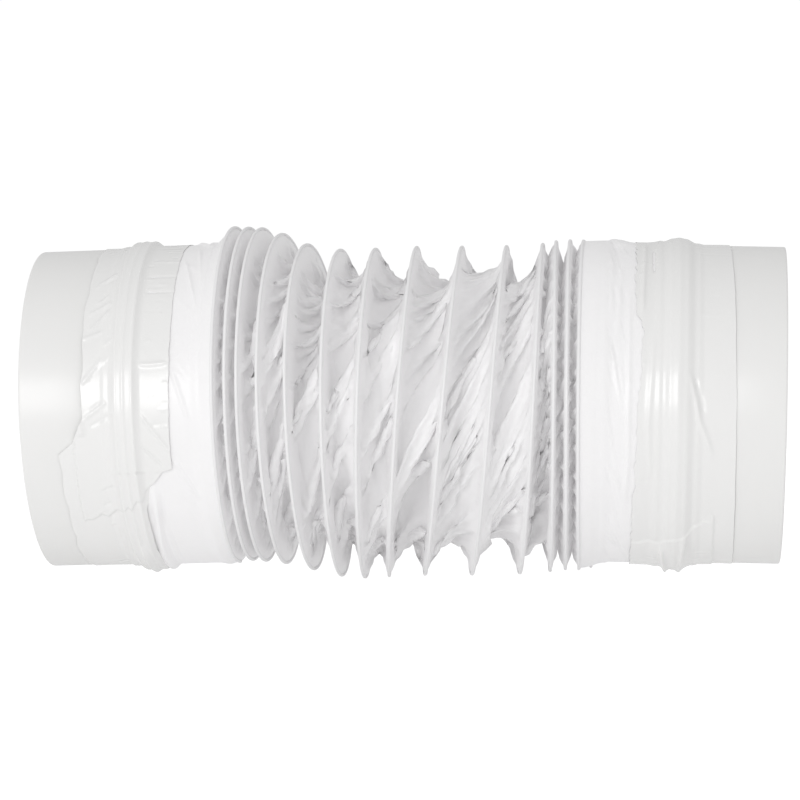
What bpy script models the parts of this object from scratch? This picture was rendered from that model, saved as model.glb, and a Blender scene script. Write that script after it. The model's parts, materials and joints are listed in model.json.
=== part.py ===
"""Flexible air duct, 100 mm: two rigid PVC collars joined by a film hose on a spring-wire coil.

The right collar lies along +X and every other piece hangs from it in a chain that runs to the
left: the coil's turns one by one, with a film pleat between each pair, then the left collar.
The duct is modelled as it rests: its two ends bunched up, its middle open and a little bent.
"""
import math

import bmesh
import bpy
from mathutils import Matrix, Vector

MM = 0.001

# Collars: two equal lengths of round pipe.
PIPE_RADIUS = 50.0 * MM
PIPE_WALL = 1.8 * MM
PIPE_LENGTH = 57.0 * MM
PIPE_CHAMFER = 0.5 * MM
PIPE_SIDES = 48

# Film cuff, cable tie and sealing tape on each collar, measured from the collar's mouth.
CUFF_START = 28.0 * MM
CUFF_THICK = 0.4 * MM
TIE_START = 31.0 * MM
TIE_WIDTH = 4.8 * MM
TIE_THICK = 1.2 * MM
TIE_HEAD = (7.0 * MM, 6.4 * MM, 3.2 * MM)
TIE_HEAD_SINK = 0.8 * MM
TIE_HEAD_RISE = TIE_THICK - TIE_HEAD_SINK + TIE_HEAD[2]
TIE_HEAD_ANGLE = {"left": math.radians(120), "right": math.radians(240)}
TIE_HEAD_SPAN = math.radians(10)
TAPE_START = {"left": 20.0 * MM, "right": 15.0 * MM}
TAPE_END = {"left": 47.0 * MM, "right": 48.0 * MM}
TAPE_THICK = 0.4 * MM
TAPE_STEP = 1.5 * MM
CLEARANCE = 0.3 * MM

# Coil: a left-handed helix. Turn k has its highest point at s = k and spans s = k - 0.5 to k + 0.5.
TURNS = 14
WIRE_RADIUS = 0.6 * MM
WIRE_SIDES = 5
TURN_STEPS = 24
TURN_GAP = 0.0012
COIL_RADIUS_KEYS = ((1.0, 52.6), (3.0, 52.6), (6.0, 51.7), (14.0, 51.7))
PITCHES = (4.2, 4.0, 8.0, 8.6, 10.0, 8.2, 10.8, 13.9, 15.1, 13.6, 3.6, 4.6, 4.2)

# Lie of the coil, as (turn, value): height of each turn's centre above the right collar's axis,
# lean of its top towards +X, and swing of its axis about Z.
FIRST_TURN_X = -171.2
HEIGHT_KEYS = ((1.0, 0.5), (3.0, 0.3), (6.0, -5.2), (9.0, -3.6), (13.0, -1.0), (14.0, -1.0))
LEAN_KEYS = ((1.0, -3.2), (2.5, -2.8), (5.0, -5.0), (8.6, 1.7), (12.6, -1.6), (14.0, -1.2))
SWING_KEYS = ((1.0, 5.4), (4.0, 7.0), (8.6, -1.0), (12.0, -0.4), (14.0, 1.0))

# Left collar: centre of its mouth and its own lean and swing.
LEFT_MOUTH = (-232.5, -5.6)
LEFT_LEAN = math.radians(-2.9)
LEFT_SWING = math.radians(6.0)

# Film pleats between turns.
FILM_THICK = 0.35 * MM
FILM_WIRE_GAP = 0.35 * MM
PLEAT_DEPTH = 11.0 * MM
VALLEY_HALF_WIDTH = 0.35 * MM

# Pleats FIRST_OPEN to LAST_OPEN stretch and bend. The pleats of the two bunches only stretch.
FIRST_OPEN = 3
LAST_OPEN = 10


def clear_scene():
    for old in list(bpy.data.objects):
        bpy.data.objects.remove(old, do_unlink=True)


def material(name, colour, roughness, metallic=0.0):
    mat = bpy.data.materials.new(name)
    mat.use_nodes = True
    shader = mat.node_tree.nodes["Principled BSDF"]
    shader.inputs["Base Color"].default_value = (*colour, 1.0)
    shader.inputs["Roughness"].default_value = roughness
    shader.inputs["Metallic"].default_value = metallic
    mat.diffuse_color = (*colour, 1.0)
    return mat


def smooth_key(keys, s):
    """Value at s on a smooth line through (turn, value) keys, level at each key."""
    if s <= keys[0][0]:
        return keys[0][1]
    for (s0, v0), (s1, v1) in zip(keys, keys[1:]):
        if s <= s1:
            share = (1.0 - math.cos(math.pi * (s - s0) / (s1 - s0))) / 2.0
            return v0 + (v1 - v0) * share
    return keys[-1][1]


def along(s):
    """X of the coil's centre line at s, from the pitch of each turn."""
    x = FIRST_TURN_X
    if s < 1.0:
        return (x - PITCHES[0] * (1.0 - s)) * MM
    for k, pitch in enumerate(PITCHES, start=1):
        share = min(max(s - k, 0.0), 1.0)
        x += pitch * share
    return (x + PITCHES[-1] * max(s - TURNS, 0.0)) * MM


DEPTH_STEPS = 8
DEPTHS = [0.0]


def depth(s):
    """Y of the coil's centre line at s: the line follows the swing, from the last turn back."""
    place = max(TURNS - s, 0.0) * DEPTH_STEPS
    while len(DEPTHS) < place + 2:
        right = TURNS - (len(DEPTHS) - 1) / DEPTH_STEPS
        left = right - 1.0 / DEPTH_STEPS
        swing = math.radians(smooth_key(SWING_KEYS, (left + right) / 2.0))
        DEPTHS.append(DEPTHS[-1] + (along(right) - along(left)) * math.tan(swing))
    knot = int(place)
    return DEPTHS[knot] + (DEPTHS[knot + 1] - DEPTHS[knot]) * (place - knot)


def tilt(lean, swing):
    """Rotation of a ring: its axis on X, its top leant towards +X, swung about Z."""
    return Matrix.Rotation(-swing, 4, "Z") @ Matrix.Rotation(lean, 4, "Y")


def station(s):
    """Frame of the coil at s: X along the duct, Z to the turn's top."""
    centre = Vector((along(s), depth(s), smooth_key(HEIGHT_KEYS, s) * MM))
    lean = math.radians(smooth_key(LEAN_KEYS, s))
    swing = math.radians(smooth_key(SWING_KEYS, s))
    return Matrix.Translation(centre) @ tilt(lean, swing)


def coil_radius(s):
    return smooth_key(COIL_RADIUS_KEYS, s) * MM


def around(frame, angle, radius, shift=0.0):
    """Point at a radius and angle about a frame's X axis, from its top towards its back."""
    return frame @ Vector((shift, radius * math.sin(angle), radius * math.cos(angle)))


def collar_frame(side):
    """Frame of a collar: origin at its mouth's centre, X running into the pipe."""
    if side == "right":
        return Matrix.Rotation(math.pi, 4, "Z")
    x, z = LEFT_MOUTH
    inner = station(1.0).translation
    y = inner.y + (inner.x - x * MM) * math.tan(LEFT_SWING)
    return Matrix.Translation(Vector((x * MM, y, z * MM))) @ tilt(LEFT_LEAN, LEFT_SWING)


def finish(name, bm, mat, frame):
    """Turn a bmesh in world space into an object with its origin at the frame."""
    bmesh.ops.recalc_face_normals(bm, faces=bm.faces)
    bmesh.ops.transform(bm, matrix=frame.inverted(), verts=bm.verts)
    mesh = bpy.data.meshes.new(name)
    bm.to_mesh(mesh)
    bm.free()
    mesh.shade_smooth()
    mesh.set_sharp_from_angle(angle=math.radians(35))
    mesh.materials.append(mat)
    obj = bpy.data.objects.new(name, mesh)
    bpy.context.scene.collection.objects.link(obj)
    obj.matrix_world = frame
    return obj


def swept(name, sections, mat, frame):
    """Closed solid through a row of equal closed sections, with a cap at each end."""
    bm = bmesh.new()
    rings = [[bm.verts.new(point) for point in section] for section in sections]
    for one, two in zip(rings, rings[1:]):
        for i in range(len(one)):
            j = (i + 1) % len(one)
            bm.faces.new((one[i], one[j], two[j], two[i]))
    bm.faces.new(rings[0])
    bm.faces.new(rings[-1])
    bmesh.ops.triangulate(bm, faces=[face for face in bm.faces if len(face.verts) > 4])
    return finish(name, bm, mat, frame)


def turned(name, profile, mat, frame, sides=PIPE_SIDES):
    """Closed ring: a closed profile of (distance along X, radius) spun about the frame's X."""
    bm = bmesh.new()
    verts = [bm.verts.new(around(frame, 0.0, radius, x)) for x, radius in profile]
    edges = [bm.edges.new((a, b)) for a, b in zip(verts, verts[1:] + verts[:1])]
    bmesh.ops.spin(
        bm,
        geom=verts + edges,
        cent=frame.translation,
        axis=frame.to_3x3() @ Vector((1.0, 0.0, 0.0)),
        angle=2.0 * math.pi,
        steps=sides,
        use_duplicate=False,
    )
    bmesh.ops.remove_doubles(bm, verts=bm.verts, dist=1e-6)
    return finish(name, bm, mat, frame)


def make_collar(side, mat):
    outer = PIPE_RADIUS
    inner = PIPE_RADIUS - PIPE_WALL
    cut = PIPE_CHAMFER
    profile = [
        (0.0, inner + cut),
        (0.0, outer - cut),
        (cut, outer),
        (PIPE_LENGTH, outer),
        (PIPE_LENGTH, inner),
        (cut, inner),
    ]
    return turned(side + "_collar", profile, mat, collar_frame(side))


def cuff_end(side):
    """How far from the collar's mouth the cuff reaches: just short of the nearest turn."""
    reach = {
        "left": (collar_frame("left").inverted() @ station(0.5).translation).x,
        "right": (collar_frame("right").inverted() @ station(TURNS + 0.5).translation).x,
    }
    return reach[side] - WIRE_RADIUS - 2.0 * CLEARANCE


def make_cuff(side, mat):
    inner = PIPE_RADIUS + CLEARANCE
    outer = inner + CUFF_THICK
    end = cuff_end(side)
    profile = [(CUFF_START, inner), (CUFF_START, outer), (end, outer), (end, inner)]
    return turned(side + "_cuff", profile, mat, collar_frame(side))


def tie_base():
    return PIPE_RADIUS + CLEARANCE + CUFF_THICK + CLEARANCE


def make_tie(side, mat):
    """Cable tie: a flat strap round the cuff with its square head standing on it."""
    low = tie_base()
    high = low + TIE_THICK
    start, end = TIE_START, TIE_START + TIE_WIDTH
    profile = [(start, low), (start, high), (end, high), (end, low)]
    frame = collar_frame(side)
    strap = turned(side + "_cable_tie", profile, mat, frame)
    length, width, height = TIE_HEAD
    bm = bmesh.new()
    bmesh.ops.create_cube(bm, size=1.0)
    bmesh.ops.scale(bm, vec=(width, length, height), verts=bm.verts)
    place = (
        frame
        @ Matrix.Rotation(-TIE_HEAD_ANGLE[side], 4, "X")
        @ Matrix.Translation(Vector(((start + end) / 2.0, 0.0, low + TIE_HEAD_RISE - height / 2.0)))
    )
    bmesh.ops.transform(bm, matrix=place, verts=bm.verts)
    head = finish(side + "_tie_head", bm, mat, frame)
    head.hide_render = True
    head.display_type = "WIRE"
    hang(head, strap)
    join = strap.modifiers.new("head", "BOOLEAN")
    join.operation = "UNION"
    join.object = head
    return strap


def make_tape(side, mat):
    """Sealing tape: lies on the pipe, steps over the cuff's edge, and bridges the tie and its head."""
    flat = PIPE_RADIUS + CLEARANCE
    cuff = tie_base()
    tie = cuff + TIE_THICK + CLEARANCE
    head = cuff + TIE_HEAD_RISE + 2.0 * CLEARANCE
    start, end = TAPE_START[side], TAPE_END[side]
    middle = TIE_START + TIE_WIDTH / 2.0
    half = TIE_HEAD[1] / 2.0 + CLEARANCE
    cuff_start = CUFF_START - CLEARANCE
    frame = collar_frame(side)
    bm = bmesh.new()
    rings = []
    for i in range(PIPE_SIDES):
        angle = 2.0 * math.pi * i / PIPE_SIDES
        over_head = abs(angle - TIE_HEAD_ANGLE[side]) < TIE_HEAD_SPAN
        ridge = head if over_head else tie
        under = [
            (start, flat),
            (cuff_start - TAPE_STEP, flat),
            (cuff_start, cuff),
            (middle - half - TAPE_STEP / 2.0, cuff),
            (middle - half, ridge),
            (middle + half, ridge),
            (middle + half + TAPE_STEP, cuff),
            (end, cuff),
        ]
        over = [(x, radius + TAPE_THICK) for x, radius in under]
        rings.append([bm.verts.new(around(frame, angle, r, x)) for x, r in under + over[::-1]])
    for one, two in zip(rings, rings[1:] + rings[:1]):
        for i in range(len(one)):
            j = (i + 1) % len(one)
            bm.faces.new((one[i], one[j], two[j], two[i]))
    return finish(side + "_tape", bm, mat, frame)


def turn_samples(k):
    """Values of s along turn k, leaving a hair's gap to the turns before and after it."""
    first = k - 0.5 + TURN_GAP
    last = k + 0.5 - TURN_GAP
    return [first + (last - first) * i / TURN_STEPS for i in range(TURN_STEPS + 1)]


def make_wire_turn(k, mat):
    sections = []
    for s in turn_samples(k):
        angle = 2.0 * math.pi * s
        frame = station(s)
        section = []
        for i in range(WIRE_SIDES):
            turn = 2.0 * math.pi * i / WIRE_SIDES
            radius = coil_radius(s) + WIRE_RADIUS * math.cos(turn)
            section.append(around(frame, angle, radius, WIRE_RADIUS * math.sin(turn)))
        sections.append(section)
    return swept("wire_turn_%02d" % k, sections, mat, station(k))


def pleat_profile(pitch):
    """Closed outline of a pleat as (distance from its left turn, height above the wire's centre)."""
    edge = WIRE_RADIUS + FILM_WIRE_GAP
    middle = pitch / 2.0
    near = middle - VALLEY_HALF_WIDTH
    far = middle + VALLEY_HALF_WIDTH
    return [
        (edge, 0.0),
        (edge + FILM_THICK, 0.0),
        (near, FILM_THICK - PLEAT_DEPTH),
        (far, FILM_THICK - PLEAT_DEPTH),
        (pitch - edge - FILM_THICK, 0.0),
        (pitch - edge, 0.0),
        (far + FILM_THICK, -PLEAT_DEPTH),
        (near - FILM_THICK, -PLEAT_DEPTH),
    ]


def crest(s):
    """Centre of the wire at s."""
    return around(station(s), 2.0 * math.pi * s, coil_radius(s))


def across(s, distance):
    """Value of s at a distance past the crest at s, straight across to the next turn."""
    angle = 2.0 * math.pi * s
    start = crest(s)
    low, high = s, s + 1.0
    for _ in range(24):
        middle = (low + high) / 2.0
        if (around(station(middle), angle, coil_radius(middle)) - start).length < distance:
            low = middle
        else:
            high = middle
    return (low + high) / 2.0


def make_pleat(k, mat):
    """Film between turn k and turn k + 1, one turn of the hose long."""
    sections = []
    for s in turn_samples(k):
        gap = (crest(s + 1.0) - crest(s)).length
        section = []
        for x, height in pleat_profile(gap):
            at = across(s, x)
            section.append(around(station(at), 2.0 * math.pi * s, coil_radius(at) + height))
        sections.append(section)
    return swept("film_pleat_%02d" % k, sections, mat, station(k + 0.5))


def empty(name, frame):
    obj = bpy.data.objects.new(name, None)
    obj.empty_display_size = 10.0 * MM
    bpy.context.scene.collection.objects.link(obj)
    obj.matrix_world = frame
    return obj


def hang(child, parent):
    """Parent an object without moving it."""
    frame = child.matrix_world.copy()
    child.parent = parent
    child.matrix_parent_inverse = parent.matrix_world.inverted()
    child.matrix_world = frame


def build():
    clear_scene()
    pipe = material("pvc_pipe", (0.86, 0.855, 0.84), 0.28)
    film = material("pvc_film", (0.83, 0.83, 0.85), 0.4)
    steel = material("spring_steel", (0.62, 0.62, 0.63), 0.35, 0.9)
    nylon = material("nylon", (0.88, 0.88, 0.86), 0.45)
    tape = material("pvc_tape", (0.88, 0.88, 0.875), 0.22)

    root = empty("duct", Matrix.Identity(4))
    pieces = {}
    for side in ("left", "right"):
        pieces[side] = [
            make_collar(side, pipe),
            make_cuff(side, film),
            make_tie(side, nylon),
            make_tape(side, tape),
        ]
    wires = {k: make_wire_turn(k, steel) for k in range(1, TURNS + 1)}
    pleats = {k: make_pleat(k, film) for k in range(1, TURNS)}

    # The right end holds still. From there each pivot hangs on the one to its right. An open
    # pleat has two pivots, one to stretch along X and one to bend: odd pleats swing about Z,
    # even ones tilt about Y. A pleat of the bunches has a pivot to stretch only.
    carrier = root
    for part in pieces["right"] + [wires[TURNS]]:
        hang(part, carrier)
    for k in range(TURNS - 1, 0, -1):
        stretch = empty("pleat_%02d_stretch" % k, station(k + 0.5))
        hang(stretch, carrier)
        if FIRST_OPEN <= k <= LAST_OPEN:
            hang(pleats[k], stretch)
            bend = empty("pleat_%02d_%s" % (k, "swing" if k % 2 else "tilt"), station(k + 0.5))
            hang(bend, stretch)
            hang(wires[k], bend)
            carrier = bend
        else:
            hang(pleats[k], carrier)
            hang(wires[k], stretch)
            carrier = stretch
    for part in pieces["left"]:
        hang(part, carrier)

    # The origin is the middle of the duct's footprint.
    bpy.context.view_layer.update()
    corners = []
    for obj in bpy.context.scene.objects:
        if obj.type == "MESH" and not obj.hide_render:
            corners += [obj.matrix_world @ vert.co for vert in obj.data.vertices]
    low = Vector([min(c[i] for c in corners) for i in range(3)])
    high = Vector([max(c[i] for c in corners) for i in range(3)])
    root.location = -Vector(((low.x + high.x) / 2.0, (low.y + high.y) / 2.0, low.z))


build()
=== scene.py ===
"""Looks of the 100 mm flexible air duct: white PVC collars, a crumpled film hose on its spring
wire, stretched cuffs and glossy sealing tape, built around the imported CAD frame."""
import json
import math

import bmesh
import bpy
import numpy as np
from mathutils import Matrix, Vector

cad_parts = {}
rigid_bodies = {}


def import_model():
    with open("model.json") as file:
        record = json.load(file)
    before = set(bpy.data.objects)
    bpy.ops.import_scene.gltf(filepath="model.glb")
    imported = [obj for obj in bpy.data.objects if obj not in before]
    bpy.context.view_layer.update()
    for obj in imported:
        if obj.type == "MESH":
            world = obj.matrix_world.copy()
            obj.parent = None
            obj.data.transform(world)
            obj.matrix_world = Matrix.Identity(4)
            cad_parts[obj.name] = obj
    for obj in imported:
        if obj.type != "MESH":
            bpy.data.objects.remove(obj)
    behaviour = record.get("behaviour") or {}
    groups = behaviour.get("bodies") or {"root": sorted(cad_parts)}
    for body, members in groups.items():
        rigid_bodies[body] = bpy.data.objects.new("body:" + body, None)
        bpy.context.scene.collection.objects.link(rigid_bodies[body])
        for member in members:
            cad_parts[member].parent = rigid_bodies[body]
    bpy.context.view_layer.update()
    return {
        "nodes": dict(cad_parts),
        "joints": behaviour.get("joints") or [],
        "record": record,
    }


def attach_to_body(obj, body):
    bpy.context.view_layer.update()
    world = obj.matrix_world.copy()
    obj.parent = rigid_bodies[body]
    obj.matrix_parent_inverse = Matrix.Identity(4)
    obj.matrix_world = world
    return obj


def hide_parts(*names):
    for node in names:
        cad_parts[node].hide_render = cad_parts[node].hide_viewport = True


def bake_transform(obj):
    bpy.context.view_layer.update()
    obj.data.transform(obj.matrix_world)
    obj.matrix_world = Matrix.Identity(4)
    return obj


MM = 0.001
TWO_PI = 2.0 * math.pi

# Turns of the wire, counted from the left. The pleats right of turns FIRST_OPEN to LAST_OPEN have
# a body of their own; the others are bunched.
TURNS = 14
FIRST_OPEN, LAST_OPEN = 3, 10
# The coil runs on to a ring this far past each collar's end, and this much wider than the collar.
COIL_PAST = 0.6 * MM
COIL_LIFT = 1.0 * MM

# Film cloth: points round each turn and steps across a pleat. Then the width of film between two
# turns of wire, open and bunched, and the gap between turns at which a pleat counts as open.
GRID_ROUND = 224
GRID_ACROSS = 16
FILM_WIDTH = 36.0 * MM
BUNCH_WIDTH = 16.0 * MM
OPEN_GAP = 12.0 * MM
# Turns by which a pleat's right edge is ahead of its left edge, how much that varies, and how many
# times in each turn.
FILM_TWIST = 0.10
FILM_TWIST_SPREAD = 0.035
TWIST_CHANGES = 1.7
# Starting shape: its sag, as a share of the sag that its width allows.
START_SAG = 0.92
# Starting crumple: its depth, blur passes of its broad and its fine part, the fine part's share,
# and the share left in bunched pleats.
FILM_NOISE = 2.5 * MM
NOISE_SMOOTHING = 30
FINE_SMOOTHING = 5
FINE_NOISE = 0.6
BUNCH_NOISE = 0.05
# Unevenness of the film's rest length across a pleat, its blur passes, and its share in bunches.
FILM_UNEVEN = 0.27
UNEVEN_SMOOTHING = 40
BUNCH_UNEVEN = 0.25
# Share of a length error that each pass puts right: along and across, diagonally, and in bending.
# Squeezed links are put right GIVE times as fast as stretched ones.
THREAD_STIFFNESS = 0.9
SHEAR_STIFFNESS = 0.35
FOLD_STIFFNESS = 0.02
GIVE = 1.2
# Each step: pull towards the duct's inside, pull towards the nearer turn of wire, and speed kept.
SUCTION = 0.16 * MM
HUG = 0.28 * MM
SPEED_KEPT = 0.9
CLOTH_STEPS = 110
CLOTH_PASSES = 4
# Least distance that the film keeps from the planes of its two turns of wire, also as a share of
# their gap, and how fast that starts from the wire.
WIRE_MARGIN = 1.0 * MM
MARGIN_SHARE = 0.22
EDGE_RAMP = 6.0
# Sharp creases added to the settled film: depth, how fast they grow from the wire, height of the
# sharp line over the film, rows climbed per column, and blur passes along and across the film.
CREASE_DEPTH = 0.65 * MM
CREASE_RAMP = 1.6
CREASE_LEVEL = 0.8
CREASE_SLOPE = 1
CREASE_LONG = 70
CREASE_WIDE = 1
# Turns over which the film goes from taut to slack at the left end, and back at the right end, and
# how much faster it leaves the straight line between its edges.
FIRST_TAUT = 0.7
LAST_TAUT = 0.65
END_RAMP = 4.0
FILM_THICK = 0.18 * MM

# Wire bead: film-covered spring wire. It starts half a turn before the first whole turn, and ends
# half a turn after the last. Its direction is taken over BEAD_STEP turns to either side.
BEAD_START = 0.5
BEAD_RADIUS = 0.55 * MM
BEAD_SIDES = 10
BEAD_STEP = 0.002

# How far inside its cuts a span of the hose would start to bend, at most this share of its
# width. The inset is worked out, but nothing bends with it.
SPAN_MARGIN = 0.8 * MM
SPAN_SHARE = 0.35

# Collars. CAD points within RIM_DEPTH of the mouth belong to its rim. Points of a turned shape that
# are closer than WELD are joined.
RIM_DEPTH = 0.2 * MM
WELD = 0.001 * MM
PIPE_RADIUS = 50.0 * MM
PIPE_WALL = 1.8 * MM
PIPE_CHAMFER = 0.5 * MM
COLLAR_SIDES = 192

# Cuffs: film over the collar, which flares out to the coil near the collar's end, and then runs
# free. Creases are lines of (degrees from the top towards the back, mm from the mouth), with a
# height and a half width in mm. CREASE_FADE is the inverse of their fading share at either end.
CREASE_FADE = 5.0
CUFF_START = 28.0 * MM
CUFF_REST = 0.45 * MM
CUFF_FLARE = 3.5 * MM
CUFF_LOWEST = 0.25 * MM
CUFF_SIDES = 360
CUFF_COLUMNS = 60
CUFF_FREE = 8
CUFF_CREASES = {
    "left": (
        (((338.0, 48.0), (294.0, 58.0), (278.0, 62.0)), 0.5, 0.6),
        (((284.0, 48.0), (262.0, 54.0)), 0.35, 0.6),
        (((252.0, 47.0), (233.0, 55.0)), 0.4, 0.6),
        (((347.0, 52.0), (322.0, 55.5), (306.0, 57.0)), 0.55, 0.5),
        (((323.0, 55.0), (321.0, 59.0)), 0.4, 0.5),
        (((357.0, 50.0), (343.0, 58.0)), 0.9, 1.0),
        (((366.0, 52.0), (352.0, 60.0)), 0.9, 1.0),
        (((245.0, 41.0), (225.0, 40.5), (200.0, 39.5), (182.0, 38.5), (160.0, 38.0)), 1.7, 1.4),
        (((226.0, 42.5), (205.0, 43.0), (186.0, 43.0)), 0.5, 0.9),
    ),
    "right": (
        (((335.0, 57.0), (300.0, 57.6), (285.0, 57.0)), 0.4, 0.9),
        (((334.0, 54.5), (298.0, 54.5)), 0.35, 0.8),
        (((328.0, 51.5), (292.0, 52.5)), 0.35, 0.8),
        (((318.0, 49.0), (250.0, 48.5), (222.0, 50.0)), 0.4, 0.7),
        (((355.0, 58.0), (336.0, 61.0), (318.0, 62.0)), 1.3, 0.9),
        (((340.0, 50.0), (360.0, 54.0), (385.0, 52.0)), 1.1, 3.5),
        (((345.0, 56.0), (362.0, 58.5), (380.0, 59.5)), 1.1, 1.5),
        (((232.0, 60.0), (205.0, 50.0)), 0.4, 0.6),
        (((250.0, 56.0), (234.0, 49.0)), 0.3, 0.6),
    ),
}

# Random wrinkles of the cuffs: count, mm they run between, degrees they lean, height in mm.
CUFF_WRINKLES = {"left": (16, 46.0, 57.0, -16.0, 0.14), "right": (60, 48.0, 57.0, 60.0, 0.22)}
# A wrinkle starts at least WRINKLE_ROOM before the last mm, is at least WRINKLE_LEAST long and ends
# at most WRINKLE_PAST after it. Then the ranges of its lean and height, as shares, and half width.
WRINKLE_ROOM = 2.0
WRINKLE_LEAST = 1.5
WRINKLE_PAST = 1.0
WRINKLE_LEAN = (0.6, 1.3)
WRINKLE_HEIGHT = (0.4, 1.3)
WRINKLE_HALF = (0.25, 0.55)

# Cable tie: where its head sits (degrees from the top towards the back), from and to which
# distance from the mouth it runs, its lowest and highest lift off the pipe, the cut of its edges
# and its head's, and the head's size along the duct, round it and outwards.
TIE_HEAD_DEGREES = 120.0
TIE_SPAN = (31.0 * MM, 35.8 * MM)
TIE_LIFT = (0.5 * MM, 1.6 * MM)
TIE_EDGE = 0.2 * MM
TIE_BEVEL = 0.5 * MM
TIE_HEAD = (6.4 * MM, 7.0 * MM, 3.2 * MM)

# Tape over the cuff's end and the cable tie: its height over the bare pipe, and its rises over the
# cuff, the tie, the tie's head, a layer of tape and in its slow waves. It starts to rise
# CUFF_BEFORE mm before the cuff, and takes CUFF_SOFT mm. There are WAVES_ROUND waves round the
# duct, and they slant by WAVE_SLANT radians per mm.
TAPE_THICK = 0.18 * MM
TAPE_REST = 0.26 * MM
TAPE_SIDES = 720
TAPE_COLUMNS = 84
CUFF_RISE = 0.4 * MM
CUFF_BEFORE = 2.5
CUFF_SOFT = 2.0
RIDGE_RISE = 1.3 * MM
HEAD_RISE = 3.8 * MM
LAYER_RISE = 0.35 * MM
TAPE_WAVE = 0.05 * MM
WAVES_ROUND = 5.0
WAVE_SLANT = 0.4
# Lump over the tie's head: first and last mm from the mouth and soft width, then half its width
# round the duct and the soft width there, in mm.
HEAD_LUMP = (28.5, 38.5, 3.5)
HEAD_LUMP_ROUND = (6.5, 3.0)
# Cable tie's ridge: first and last mm from the mouth and soft width; then lines on it (mm, rise,
# half width).
RIDGE = {"left": (29.7, 37.1, 3.0), "right": (29.6, 37.2, 3.2)}
RIDGE_LINES = {
    "left": ((30.6, 0.2, 0.5), (33.2, 0.25, 0.5), (36.2, 0.25, 0.5)),
    "right": ((33.4, 0.35, 1.3), (39.2, 0.5, 1.6)),
}
# Points of the ragged edge, and its depth in mm, at the mouth's side and at the hose's side.
TAPE_TEETH = (70, 150)
TAPE_RAGGED = {"left": (0.5, 0.15), "right": (0.08, 0.45)}
# Random wrinkles of the tape: count, mm they run between, degrees they lean, height in mm.
TAPE_WRINKLES = {
    "left": ((110, 37.5, 47.5, 0.0, 0.14), (40, 20.0, 29.0, 7.0, 0.22)),
    "right": ((30, 38.0, 47.0, 0.0, 0.12), (60, 16.0, 29.0, 0.0, 0.05)),
}
# The tape's two edges as (degrees, mm from the mouth), then its creases like the cuffs'.
TAPE_STARTS = {
    "left": (
        (0.0, 21.0), (200.0, 13.0), (253.0, 12.0), (257.0, 16.0), (263.0, 18.5), (266.0, 20.0),
    ),
    "right": ((0.0, 17.8), (180.0, 15.0), (270.0, 15.5), (320.0, 16.5)),
}
TAPE_ENDS = {
    "left": (
        (0.0, 47.5), (120.0, 46.0), (165.0, 38.0), (231.0, 37.6), (240.0, 40.0),
        (245.5, 44.0), (246.5, 47.2), (300.0, 47.8),
    ),
    "right": ((0.0, 47.0), (210.0, 47.2), (260.0, 46.0), (297.0, 44.4), (304.0, 47.0)),
}
TAPE_CREASES = {
    "left": (
        (((317.0, 22.0), (325.0, 29.5)), 0.35, 0.7),
        (((304.0, 21.0), (310.0, 29.0)), 0.3, 0.6),
        (((297.0, 21.5), (307.0, 29.0)), 0.35, 0.5),
        (((294.0, 19.5), (297.5, 27.0)), 0.4, 0.6),
        (((288.0, 27.5), (277.0, 19.5)), 0.35, 0.6),
        (((272.0, 28.5), (265.0, 20.0)), 0.35, 0.6),
        (((266.0, 19.0), (259.0, 19.5)), 0.6, 1.3),
        (((284.0, 37.5), (284.5, 47.5)), 0.5, 0.6),
        (((322.0, 38.0), (322.0, 48.0)), -0.3, 0.4),
        (((314.0, 38.0), (313.5, 48.0)), -0.3, 0.4),
        (((268.0, 37.5), (252.0, 48.0)), 0.35, 0.5),
        (((256.0, 38.0), (247.0, 45.0)), -0.4, 0.5),
        (((214.0, 34.0), (170.0, 33.0)), 0.7, 1.3),
    ),
    "right": (
        (((282.0, 30.0), (265.0, 27.0), (250.0, 22.0)), 0.55, 0.8),
        (((280.0, 28.5), (266.0, 25.5)), -0.35, 0.8),
        (((341.0, 41.4), (322.0, 41.4)), -0.6, 0.4),
        (((350.0, 44.0), (300.0, 45.0)), 0.6, 0.7),
        (((300.0, 41.0), (262.0, 42.5), (240.0, 41.5)), 0.4, 0.9),
        (((213.0, 38.2), (188.0, 36.3), (172.0, 36.0)), 1.2, 0.8),
        (((219.0, 30.6), (190.0, 31.6), (170.0, 32.0)), 1.0, 0.8),
    ),
}

# A second layer of tape: its torn edge as (degrees, mm from the mouth), then the degrees where the
# layer runs out. It lies on that side of the torn edge.
TAPE_LAYERS = {
    "left": (
        ((224.0, 17.0), (230.5, 31.2), (235.0, 37.0), (240.0, 40.0), (246.0, 48.0)), 300.0,
    ),
    "right": (
        ((226.5, 21.6), (219.7, 29.0), (217.0, 31.8), (212.6, 38.5), (210.6, 47.5)), 150.0,
    ),
}
# Teeth of the torn edge: mm from the mouth, and how far each goes over or under, in TORN_DEGREES.
TORN = {
    "left": (
        (15, 18, 20, 23, 25, 28, 30, 32, 33, 35, 37, 38, 40, 43, 48),
        (0, 1, 0, 1, -1, 1, 0, 1, -1, 1, -1, 1, 0, -1, 1),
    ),
    "right": (
        (20, 22, 23, 25, 26, 28, 30, 33, 36, 39, 42, 45, 48),
        (0, 1, -1, 1, 0, 1, -1, 0, 1, 0, 1, 0, 1),
    ),
}
TORN_DEGREES = 1.1
# Degrees over which a layer rises at its torn edge, and over which it runs out.
LAYER_EDGE = 0.8
LAYER_FADE = 12.0

# Materials: detail of the broad and the fine noise, scale of the fine one against the broad, share
# of the tone's spread that brightens, gloss spread per tone spread, strength of the relief, and
# gloss of the clear coat.
BROAD_DETAIL = 4.0
FINE_DETAIL = 6.0
FINE_SCALE = 14.0
TONE_UP = 0.5
GLOSS_SPREAD = 6.0
RELIEF = 0.6
PLASTIC_IOR = 1.5
COAT_ROUGHNESS = 0.14

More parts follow.
